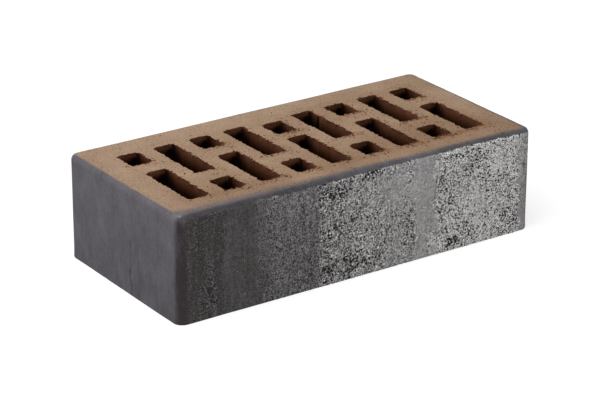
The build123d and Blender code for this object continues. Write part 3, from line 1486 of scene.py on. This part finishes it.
@dataclass
class BrickSkin:
    """The fired brick: its section, its torn core edges and the relief of its faces."""

    box: Section
    perforations: Perforations = Perforations()
    side_pitch: float = 1.2
    tear_pitch: float = 0.5
    torn_depths: tuple[float, ...] = (0.4,)
    upper_depths: tuple[float, ...] = (0.9, 1.6, 2.7, 4.2)
    lower_depths: tuple[float, ...] = (6.5, 9.5, 13.0, 18.0, 24.0, 31.0, 39.0, 48.0, 57.0)
    coat_reach: float = 14.0
    sharp_deg: float = 60.0
    face_column: Triple = (6.0, 770.0, 3.0)
    core_column: Triple = (776.0, 1020.0, 0.9)
    lower_density: float = 1.75
    worn: WornCorner = WornCorner()
    coat_edge: CoatEdge = CoatEdge()
    shade: PaintedBedShade = PaintedBedShade()
    walls: CoreWalls = CoreWalls()
    tones: EngobeTones = EngobeTones()
    sand: FrontSand = FrontSand()
    dust: ClayDust = ClayDust()
    cracks: FaceCracks = FaceCracks()
    relief: SkinRelief = SkinRelief()
    edges: TornEdges = TornEdges()

    def build(self) -> Object:
        """Build the skin as one closed mesh.

        Returns:
            The brick.
        """
        box = self.box
        self.cores = self.perforations.cores(box.length, box.width)
        self.grid = PlanGrid(box.length, box.width, box.corner, box.rim, self.cores)
        self.skin = SkinMesh()
        self.face_shelf = BakeShelf(*self.face_column)
        self.core_shelf = BakeShelf(*self.core_column)
        flat_size = (2 * self.grid.unrolled_x[-1], 2 * self.grid.unrolled_y[-1])
        lower_island = self.core_shelf.place(*flat_size, density=self.lower_density, turned=True)
        rings = [self.add_core(core) for core in self.cores]
        sunk = box.rim - np.minimum(self.grid.edge_distance(), box.rim)
        heights = box.height - box.rim + np.sqrt(np.maximum(box.rim**2 - sunk**2, 0.0))
        upper_island = self.face_shelf.place(*flat_size)
        upper = self.add_bed(0.0, heights, upper_island, 1, 1, [pair[0] for pair in rings])
        lower = self.add_bed(box.arris, 0.0 * heights, lower_island, 2, -1, [pair[1] for pair in rings])
        self.add_sides(upper, lower)
        self.weather()
        return self.skin.to_object("fired_brick", self.places, self.marks, self.sharp_deg)

    def add_core(self, core: Core) -> tuple[Array, Array]:
        """Add one core's walls, fine at the torn upper edge and coarser below.

        Args:
            core: The core.

        Returns:
            Point numbers of its upper and lower edges.
        """
        height = self.box.height
        count = 4 * round(core.perimeter() / self.tear_pitch / 4)
        outline = core.ring(count)
        run = np.linspace(0.0, core.perimeter(), count + 1)
        island = self.core_shelf.place(core.perimeter(), height)
        levels = [(0.0, 1), *[(d, 1) for d in self.torn_depths], *[(d, 2) for d in self.upper_depths]]
        levels += [(d, 4) for d in (*self.lower_depths, height)]
        rows = []
        for depth, stride in levels:
            ids = self.skin.add_points(np.column_stack([outline, np.full(count, height - depth)])[::stride])
            rows.append((np.append(ids, ids[0]), island.uv(run[::stride], height - depth)))
        for upper, lower in zip(rows, rows[1:]):
            self.skin.strip(upper, lower, Finish.CLAY, -1)
        return rows[0][0][:-1], rows[-1][0][:-1]

    def add_bed(self, inset: float, heights: Array, island: BakeIsland, stride: int, turn: int,
                rings: list[Array]) -> Array:
        """Add one bed face.

        Args:
            inset: How far its outline is drawn in.
            heights: Height of each grid point.
            island: Its place on the bake sheet.
            stride: Grid lines to a cell.
            turn: 1 for a face that looks up, -1 for down.
            rings: Point numbers of the cores' edges on this face.

        Returns:
            Point numbers by grid line.
        """
        plan = self.grid.plan(inset)[::stride, ::stride]
        clay = self.grid.clay(stride)
        nx, ny = clay.shape
        corners = ((0, 0), (1, 0), (1, 1), (0, 1))[::turn]
        used = np.zeros(plan.shape[:2], bool)
        for a, b in corners:
            used[a:a + nx, b:b + ny] |= clay
        ids = np.full(used.shape, -1)
        places = np.concatenate([plan, heights[::stride, ::stride, None]], axis=-1)
        ids[used] = self.skin.add_points(places[used])
        across, along = self.grid.unrolled_x, self.grid.unrolled_y
        uv = island.uv((across[::stride] + across[-1])[:, None], (along[::stride] + along[-1])[None, :])
        faces = np.stack([ids[a:a + nx, b:b + ny][clay] for a, b in corners], 1)
        face_uv = np.stack([uv[a:a + nx, b:b + ny][clay] for a, b in corners], 1)
        reach = self.grid.edge_distance()[::stride, ::stride]
        far = np.minimum(reach[:-1, :-1], reach[1:, 1:])[clay] > self.coat_reach
        self.skin.add_faces(faces, face_uv, np.where(far | (turn < 0), Finish.CLAY, Finish.COAT))
        points = self.skin.all_points()
        for core, span, ring in zip(self.cores, self.grid.spans, rings):
            loop = tuple(self.grid.loop(*self.grid.around(span, stride)).T)
            outer = (ids[loop], core.along(plan[loop]), uv[loop])
            edge = points[ring]
            run = np.arange(len(ring)) / len(ring) * core.perimeter()
            inner = (ring, run, island.uv(edge[:, 0] + across[-1], edge[:, 1] + along[-1]))
            self.skin.zip_loops(outer, inner, core.perimeter(), Finish.CLAY, turn)
        return ids

    @staticmethod
    def right_hand(loop: Array) -> Array:
        """Work out the direction to the right of a closed row in plan.

        Args:
            loop: Points in plan, the first not repeated.

        Returns:
            Unit directions.
        """
        along = np.roll(loop, -1, axis=0) - np.roll(loop, 1, axis=0)
        right = np.stack([along[:, 1], -along[:, 0]], 1)
        return right / np.linalg.norm(right, axis=1, keepdims=True)

    def add_sides(self, upper: Array, lower: Array) -> None:
        """Add the four coated faces and the lower arris.

        Args:
            upper: Point numbers of the upper bed.
            lower: Point numbers of the lower bed.
        """
        arris = self.box.arris
        nx, ny = len(self.grid.x) - 1, len(self.grid.y) - 1
        loop = self.grid.loop(0, nx, 0, ny)
        outline = self.grid.plan(0.0)[loop[:, 0], loop[:, 1]]
        right = self.right_hand(outline)
        top_z = self.box.height - self.box.rim
        count = round((top_z - arris) / self.side_pitch)
        levels = [(top_z + (arris - top_z) * k / count, 0.0, 1) for k in range(1, count + 1)]
        slant = arris * (1 - math.sqrt(0.5))
        levels.append((slant, slant, 2))
        rows = [(upper[loop[:, 0], loop[:, 1]], top_z, 1)]
        for z, inset, stride in levels:
            places = np.column_stack([outline - inset * right, np.full(len(loop), z)])[::stride]
            rows.append((self.skin.add_points(places), z, stride))
        rows.append((lower[loop[::2, 0] // 2, loop[::2, 1] // 2], -slant, 2))
        steps = np.linalg.norm(np.roll(outline, -1, axis=0) - outline, axis=1)
        run = np.concatenate([[0.0], np.cumsum(steps)])
        stops = np.cumsum([0, nx, ny, nx, ny])
        for side in (0, 2, 1, 3):
            start, stop = stops[side], stops[side + 1]
            island = self.face_shelf.place(run[stop] - run[start], top_z + arris)
            for pair in zip(rows, rows[1:]):
                ends = []
                for ids, z, stride in pair:
                    part = np.append(ids, ids[0])[start // stride:stop // stride + 1]
                    ends.append((part, island.uv(run[start:stop + 1:stride] - run[start], z + arris)))
                self.skin.strip(ends[0], ends[1], Finish.COAT, 1)

    def weather(self) -> None:
        """Move the points as the wire, the die and the kiln did, and note what the finishes need."""
        base = self.skin.all_points()
        self.plain = SkinPoints(self.box, self.cores, base, self.skin.normals(base))
        self.marks = {
            **self.sand.marks(self.plain, self.worn),
            Mark.BROWN: self.coat_edge.past(self.plain),
            Mark.DEPTH: self.walls.depth(self.plain),
            Mark.DUST: self.dust.at(self.plain),
            Mark.SHADE: self.shade.at(self.plain),
            Mark.TONE: self.tones.at(self.plain, self.worn),
            Mark.CRACK: self.cracks.beside(self.plain),
        }
        lift = self.relief.lift(self.plain, self.marks, self.walls)
        self.places = self.edges.tear(self.plain, base + self.plain.normals * lift[:, None])
        self.places[:, 2] = np.maximum(self.places[:, 2], 0.0)

    def dress(self, made: Object) -> None:
        """Give the skin its finishes and its place on the frame.

        Args:
            made: The brick's object.
        """
        clay = WireCutClay()
        made.data.materials.append(clay.material())
        made.data.materials.append(SandedCoat().material(clay))
        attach(made, BODY)
        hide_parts(NODE)


@dataclass(frozen=True)
class LumpFinish:
    """One plain shade of small lumps, which are too small to show a pattern of their own."""

    name: str
    colour: str
    roughness: float = 0.9
    specular: float = 0.25

    def material(self) -> Material:
        """Make the material."""
        return Recipe(self.name).finish(self.colour, self.roughness, self.specular)


@dataclass(frozen=True)
class ScatteredLumps:
    """Many small rough lumps on the brick's skin, joined in one mesh."""

    name: str
    finishes: tuple[LumpFinish, ...]
    count: int
    small: float
    large: float
    flatness: float
    seed: int
    slide: float = 0.6
    stand: float = 0.1
    unevenness: Span = (0.75, 1.25)

    def build(self, skin: BrickSkin, weights: Array) -> Object:
        """Scatter the lumps over the skin.

        Args:
            skin: The finished brick.
            weights: How likely each point of the skin is to hold a lump.

        Returns:
            The joined lumps.
        """
        rng = np.random.default_rng(self.seed)
        chosen = rng.choice(len(weights), self.count, p=weights / weights.sum())
        normals = skin.plain.normals[chosen]
        radii = self.small + (self.large - self.small) * rng.random(self.count) ** 2
        slide = rng.uniform(-self.slide, self.slide, (self.count, 3))
        slide -= normals * np.sum(slide * normals, axis=1, keepdims=True)
        centres = skin.places[chosen] + slide + normals * (self.stand * radii)[:, None]
        shape = np.concatenate([np.eye(3), -np.eye(3)])
        signs = np.array(list(product((0, 1), repeat=3)))
        corners = np.arange(3) + 3 * signs
        odd = signs.sum(axis=1) % 2 == 1
        corners[odd] = corners[odd, ::-1]
        turns, _ = np.linalg.qr(rng.normal(size=(self.count, 3, 3)))
        turns *= np.linalg.det(turns)[:, None, None]
        uneven = rng.uniform(*self.unevenness, (self.count, len(shape), 1))
        rough = shape[None] * uneven * radii[:, None, None]
        bodies = np.einsum("nij,nvj->nvi", turns, rough)
        out = np.einsum("nvi,ni->nv", bodies, normals)
        bodies -= (1.0 - self.flatness) * out[..., None] * normals[:, None]
        points = (bodies + centres[:, None]).reshape(-1, 3)
        points[:, 2] = np.maximum(points[:, 2], 0.0)
        faces = (corners[None] + len(shape) * np.arange(self.count)[:, None, None]).reshape(-1, 3)
        mesh = bpy.data.meshes.new(self.name)
        mesh.from_pydata((points * MM).tolist(), [], faces.tolist())
        for finish in self.finishes:
            mesh.materials.append(finish.material())
        shades = np.repeat(rng.integers(0, len(self.finishes), self.count), len(corners))
        mesh.polygons.foreach_set("material_index", shades.astype(np.int32))
        made = bpy.data.objects.new(self.name, mesh)
        bpy.context.scene.collection.objects.link(made)
        return made

    @staticmethod
    def dress(made: Object) -> None:
        """Give the lumps their place on the frame."""
        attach(made, BODY)


@dataclass(frozen=True)
class LooseGrains:
    """Crumbs of clay past the cores, and the sand and slag that stand out of the front face."""

    # Torn clay crumbs give the eye brown specks of three shades, the darkest near-black, on the paler bed.
    crumbs: ScatteredLumps = ScatteredLumps("core_crumbs", (
        LumpFinish("torn_clay_crumb", "#5e3e2d"), LumpFinish("darkest_clay_crumb", "#3c2217"),
        LumpFinish("pale_clay_crumb", "#8d6e55"),
    ), 2600, 0.22, 0.75, 0.4, 5)
    # Dry quartz sand gives the eye white glints that stand out where the face is light.
    light_sand: ScatteredLumps = ScatteredLumps("light_facing_sand", (
        LumpFinish("bright_facing_sand", "#f3f1ee"), LumpFinish("pale_facing_sand", "#d2d0ce"),
    ), 8000, 0.2, 0.62, 0.6, 6)
    # Sand under a film of engobe gives the eye dull grey dots where the face is dark.
    dim_sand: ScatteredLumps = ScatteredLumps("dim_facing_sand", (
        LumpFinish("slate_facing_sand", "#8c8a8e"), LumpFinish("dull_facing_sand", "#605e63"),
    ), 5000, 0.14, 0.4, 0.6, 7)
    # Burnt slag gives the eye near-black dots among the pits.
    slag: ScatteredLumps = ScatteredLumps("dark_facing_grit", (
        LumpFinish("dark_facing_grit", "#2b2727"),
    ), 4000, 0.2, 0.6, 0.4, 8)
    crumb_focus: float = 1.7
    sand_edge: float = 0.2
    light_grit: Rise = Rise(0.2, 0.28)
    light_rough: Rise = Rise(0.04, 0.12)
    dim_most: Rise = Rise(0.24, 0.17)
    dim_least: Rise = Rise(0.02, 0.09)
    slag_pits: Rise = Rise(0.36, 0.55)

    def build(self, skin: BrickSkin) -> list[Object]:
        """Scatter the grains where the brick's marks call for them.

        Args:
            skin: The finished brick.

        Returns:
            One piece for each kind.
        """
        rough, grit, pits = (skin.marks[mark] for mark in (Mark.ROUGH, Mark.GRIT, Mark.PITS))
        sanded = skin.marks[Mark.SAND] > self.sand_edge
        light = self.light_grit.at(grit) * self.light_rough.at(rough)
        chances = (
            (self.crumbs, skin.marks[Mark.DUST] ** self.crumb_focus * skin.plain.on_bed),
            (self.light_sand, (rough * grit) ** 2 * light * sanded),
            (self.dim_sand, rough * self.dim_most.at(grit) * self.dim_least.at(grit) * sanded),
            (self.slag, rough * self.slag_pits.at(pits) * sanded),
        )
        pieces = [lumps.build(skin, weights) for lumps, weights in chances]
        for piece in pieces:
            ScatteredLumps.dress(piece)
        return pieces


@dataclass(frozen=True)
class Studio:
    """White sweep, soft light and a camera at the photograph's angle."""

    centre: Vector
    floor_side: float = 6.0
    floor_tone: float = 0.8
    floor_glow: float = 0.72
    floor_catch: float = 0.4
    azimuth_deg: float = -34.7152
    elevation_deg: float = 22.5321
    roll_deg: float = 0.1943
    distance_mm: float = 1510.47
    offset_mm: Span = (1.7398, 5.3157)
    focal_px: float = 2542.36
    image_px: float = 600.0
    sensor_mm: float = 36.0
    key_direction: Triple = (-0.44, -0.16, 0.88)
    key_distance: float = 1.7
    key_size: float = 1.5
    key_watts: float = 20.0
    sky_colour: str = "#ffffff"
    sky_strength: float = 0.42

    def build(self) -> None:
        """Set up floor, world, light and camera."""
        self.add_floor()
        self.add_world()
        self.add_light()
        self.add_camera()
        bpy.context.scene.view_settings.view_transform = "Standard"

    @staticmethod
    def seen(tree: NodeTree) -> Node:
        """Tell rays that show the set apart from rays that light it.

        Args:
            tree: Node tree to add to.

        Returns:
            1 for a ray that shows the set.
        """
        path = add(tree, "LightPath").outputs
        direct = add(tree, "Math", path["Is Camera Ray"], path["Is Glossy Ray"], operation="MAXIMUM")
        return add(tree, "Math", direct, path["Is Transmission Ray"], operation="MAXIMUM")

    def add_floor(self) -> None:
        """Lay a pale floor that the camera sees as white and that keeps the brick's shadow."""
        half = self.floor_side / 2
        corners = [(-half, -half, 0), (half, -half, 0), (half, half, 0), (-half, half, 0)]
        mesh = bpy.data.meshes.new("floor")
        mesh.from_pydata(corners, [], [(0, 1, 2, 3)])
        floor = bpy.data.objects.new("floor", mesh)
        bpy.context.scene.collection.objects.link(floor)
        # Matt white paper gives the eye an even white, with nothing on it but the brick's faint shadow.
        made = bpy.data.materials.new("white_paper_sweep")
        made.use_nodes = True
        tree = made.node_tree
        tree.nodes.clear()
        seen = self.seen(tree)
        tone = add(tree, "MapRange", seen, 0.0, 1.0, self.floor_tone, self.floor_catch)
        glow = add(tree, "MapRange", seen, 0.0, 1.0, 0.0, self.floor_glow)
        paper = add(tree, "BsdfDiffuse", tone)
        shine = add(tree, "Emission", named={"Strength": glow})
        add(tree, "OutputMaterial", add(tree, "AddShader", paper, shine))
        mesh.materials.append(made)

    def add_world(self) -> None:
        """Light the set softly from all round, with white behind it."""
        world = bpy.data.worlds.new("studio")
        bpy.context.scene.world = world
        world.use_nodes = True
        tree = world.node_tree
        tree.nodes.clear()
        level = add(tree, "MapRange", self.seen(tree), 0.0, 1.0, self.sky_strength, 1.0)
        add(tree, "OutputWorld", add(tree, "Background", self.sky_colour, level))

    def add_light(self) -> None:
        """Hang one wide soft light up on the left, a little in front of the brick."""
        lamp = bpy.data.lights.new("softbox", "AREA")
        lamp.shape = "DISK"
        lamp.size = self.key_size
        lamp.energy = self.key_watts
        held = bpy.data.objects.new("softbox", lamp)
        toward = Vector(self.key_direction).normalized()
        held.location = self.centre + self.key_distance * toward
        held.rotation_mode = "QUATERNION"
        held.rotation_quaternion = toward.to_track_quat("Z", "Y")
        bpy.context.scene.collection.objects.link(held)

    def add_camera(self) -> None:
        """Place the camera where the photograph was taken from."""
        azimuth, elevation = math.radians(self.azimuth_deg), math.radians(self.elevation_deg)
        out = math.cos(elevation)
        back = Vector((math.sin(azimuth) * out, -math.cos(azimuth) * out, math.sin(elevation)))
        level = Vector((math.cos(azimuth), math.sin(azimuth), 0.0))
        roll = Matrix.Rotation(math.radians(self.roll_deg), 3, back)
        right, up = roll @ level, roll @ back.cross(level)
        data = bpy.data.cameras.new("camera")
        data.sensor_width = self.sensor_mm
        data.lens = self.focal_px * self.sensor_mm / self.image_px
        camera = bpy.data.objects.new("camera", data)
        shift = self.offset_mm[0] * right + self.offset_mm[1] * up
        place = self.centre + MM * (self.distance_mm * back - shift)
        turn = Matrix((right, up, back)).transposed().to_4x4()
        camera.matrix_world = Matrix.Translation(place) @ turn
        bpy.context.scene.collection.objects.link(camera)
        bpy.context.scene.camera = camera


def report(piece: Object) -> None:
    """Log a piece's name and size in triangles."""
    piece.data.calc_loop_triangles()
    LOG.info("%s: %d triangles", piece.name, len(piece.data.loop_triangles))


def main() -> None:
    """Build the brick and its set, and report each piece."""
    logging.basicConfig(level=logging.INFO, format="%(name)s: %(message)s", stream=sys.stdout)
    low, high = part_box(NODE)
    skin = BrickSkin(Section(*((high - low) / MM)))
    brick = skin.build()
    skin.dress(brick)
    for piece in (brick, *LooseGrains().build(skin)):
        report(piece)
    Studio((low + high) / 2).build()


if __name__ == "__main__":
    main()
